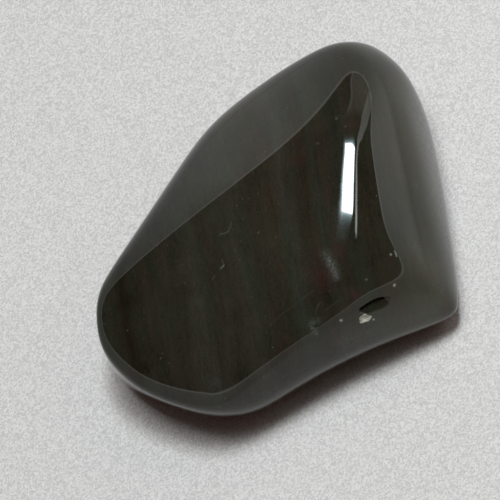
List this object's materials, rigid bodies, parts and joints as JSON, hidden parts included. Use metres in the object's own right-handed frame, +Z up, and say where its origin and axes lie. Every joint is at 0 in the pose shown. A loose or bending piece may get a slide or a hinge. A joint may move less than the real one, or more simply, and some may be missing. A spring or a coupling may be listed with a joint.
{
  "type": "rainbow obsidian tumbled stone",
  "caption": "Wedge-shaped polished pebble of near-black banded volcanic glass, smooth faces and rounded edges, resting on a small flat spot.",
  "frame": {"origin": "bottom centre of the pebble's box, on the plane that it rests on", "axes": "+X the long way, from the thin end to the thick end; +Y across, from the pointed front corner to the far edge; +Z up"},
  "size_m": [0.0296, 0.0232, 0.0105],
  "materials": {
    "obsidian": "polished"
  },
  "bodies": {
    "root": {"stone": "obsidian"}
  },
  "joints": []
}
